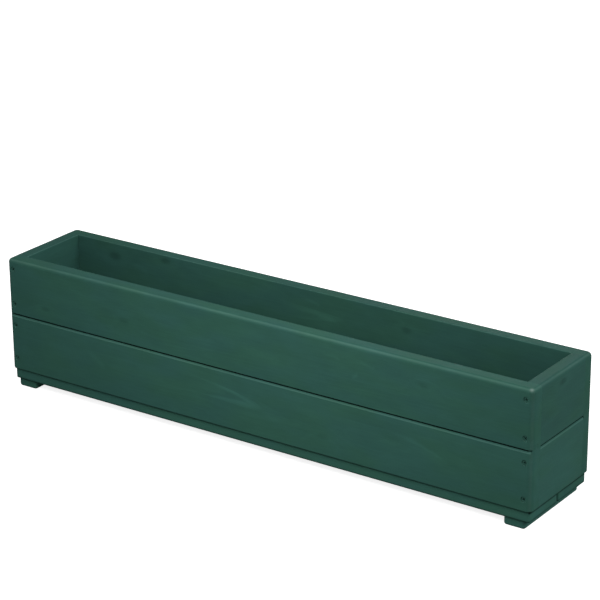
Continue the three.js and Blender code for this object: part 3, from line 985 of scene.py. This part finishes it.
def screw_mesh(kind, name):
    """A countersunk wood screw: recessed head, plain neck, thread and point, about +Y."""
    head, shank, length = kind["head"] / 2, kind["shank"] / 2, kind["length"]
    core = 0.66 * shank
    crest = 0.97 * shank
    neck_end = 0.36 * length
    point_start = length - 3 * shank
    cone_end = kind["rim"] + head - shank
    rings = [(head * r, 0.0) for r in np.linspace(0.06, 0.96, 15)]
    rings += [(head, 0.12 * MM), (head, kind["rim"])]
    head_rings = len(rings)
    rings += [(shank, cone_end), (0.9 * shank, cone_end + 0.4 * MM)]
    rings += [(0.9 * shank, neck_end)]
    for y in ladder((neck_end + THREAD_PITCH / 8, THREAD_PITCH / 8), (length - 0.5 * MM, None)):
        rings.append((None, y))
    angles = np.arange(SCREW_STEPS) * math.tau / SCREW_STEPS
    points = []
    for radius, y in rings:
        if radius is None:
            phase = (y / THREAD_PITCH - angles / math.tau) % 1
            ridge = np.clip(1 - np.abs(phase - 0.5) / 0.28, 0, 1)
            grown = min(1, (y - neck_end) / THREAD_PITCH)
            taper = min(1, max(0.06, (length - y) / (length - point_start)))
            around = (core + (crest - core) * ridge * grown) * taper
        else:
            around = np.full(SCREW_STEPS, radius)
        x, z = around * np.cos(angles), around * np.sin(angles)
        sunk = recess_depth(x, z, kind) if y == 0 else 0
        points += list(zip(x, y + sunk + np.zeros(SCREW_STEPS), z))
    centre = len(points)
    points += [(0, float(recess_depth(np.zeros(1), np.zeros(1), kind)[0]), 0), (0, length, 0)]
    faces = []
    bare = []
    for j in range(SCREW_STEPS):
        k = (j + 1) % SCREW_STEPS
        faces.append((centre, j, k))
        for i in range(len(rings) - 1):
            a, b = i * SCREW_STEPS, (i + 1) * SCREW_STEPS
            faces.append((a + j, b + j, b + k, a + k))
        faces.append((centre + 1, b + k, b + j))
        bare += [i > head_rings for i in range(len(rings) + 1)]
    data = bpy.data.meshes.new(name)
    data.from_pydata(points, [], faces)
    data.shade_smooth()
    data.set_sharp_from_angle(angle=HEAD_SMOOTH_ANGLE)
    data.polygons.foreach_set("material_index", np.array(bare, dtype=np.int32))
    return data


def drilled(board, screws, holes):
    """Cuts the holes of the screws whose boxes reach into the board."""
    low, high = (Vector(c) for c in (np.min(board.bound_box, 0), np.max(board.bound_box, 0)))
    cutters = []
    for node in screws:
        screw_low, screw_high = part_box(node)
        if all(screw_low[i] < high[i] and screw_high[i] > low[i] for i in range(3)):
            cutter = bpy.data.objects.new("hole", holes[id(screw_kind(node))])
            cutter.matrix_world = screw_place(node)
            bpy.context.scene.collection.objects.link(cutter)
            cut = board.modifiers.new("hole", "BOOLEAN")
            cut.operation, cut.solver, cut.object = "DIFFERENCE", "MANIFOLD", cutter
            cutters.append(cutter)
    bpy.context.view_layer.update()
    shaped = bpy.data.meshes.new_from_object(board.evaluated_get(bpy.context.evaluated_depsgraph_get()))
    clean = bmesh.new()
    clean.from_mesh(shaped)
    bmesh.ops.dissolve_degenerate(clean, dist=TINY, edges=clean.edges)
    clean.to_mesh(shaped)
    clean.free()
    board.modifiers.clear()
    board.data = shaped
    for cutter in cutters:
        bpy.data.objects.remove(cutter)


def finished(board, node, material):
    """Clean shading, the paint, and the board's place in the object."""
    board.data.shade_smooth()
    board.data.set_sharp_from_angle(angle=SMOOTH_ANGLE)
    weighted = board.modifiers.new("even_normals", "WEIGHTED_NORMAL")
    weighted.keep_sharp = True
    weighted.weight = 100
    board.data.materials.clear()
    board.data.materials.append(material)
    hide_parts(node)
    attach(board, "root")


# --- the pieces ---------------------------------------------------------------------------------

# Rings of each board: centre across and in depth, and how it leans along the board
PITHS = {
    "front_lower_board": ((0.083, -0.035), (-0.02, 0.012)),
    "front_upper_board": ((0.190, -0.150), (0.03, -0.010)),
    "back_lower_board": ((0.060, 0.020), (0.01, 0.014)),
    "back_upper_board": ((0.165, 0.010), (-0.01, -0.012)),
    "right_end_lower_board": ((0.090, 0.520), (0.05, 0.04)),
    "right_end_upper_board": ((0.150, 0.500), (-0.04, 0.05)),
    "left_end_lower_board": ((0.075, -0.500), (-0.05, 0.03)),
    "left_end_upper_board": ((0.170, -0.520), (0.04, 0.05)),
    "base_board_front": ((-0.045, -0.030), (0.012, 0.01)),
    "base_board_back": ((0.030, 0.075), (-0.012, 0.01)),
    "foot_batten_left": ((-0.440, 0.050), (0.02, 0.02)),
    "foot_batten_right": ((0.400, -0.030), (0.02, -0.02)),
}


def make_pieces():
    screws = [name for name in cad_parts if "screw" in name]
    kinds = (CORNER_SCREW, BASE_SCREW, FOOT_SCREW)
    holes = {id(kind): hole_mesh(kind, f"hole_{i}") for i, kind in enumerate(kinds)}
    bodies = {id(kind): screw_mesh(kind, f"screw_{i}") for i, kind in enumerate(kinds)}
    head, shank = painted_head(), zinc_plate()
    for data in bodies.values():
        data.materials.append(head)
        data.materials.append(shank)
    for node in screws:
        piece = bpy.data.objects.new(f"{node}_made", bodies[id(screw_kind(node))])
        bpy.context.scene.collection.objects.link(piece)
        piece.matrix_world = screw_place(node)
        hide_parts(node)
        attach(piece, "root")
    for seed, (node, (pith, lean)) in enumerate(PITHS.items()):
        if node.startswith("base"):
            kind, board = "base", rounded_board(node, BASE_ROUNDS)
        elif node.startswith("foot"):
            kind, board = "foot", rounded_board(node, FOOT_ROUNDS)
        else:
            side, course = node.removesuffix("_board").rsplit("_", 1)
            kind, board = ("end" if "end" in side else "long"), wall_board(side, course)
        drilled(board, screws, holes)
        finished(board, node, painted_wood(node, kind, seed * 7.3, pith, lean))


make_pieces()
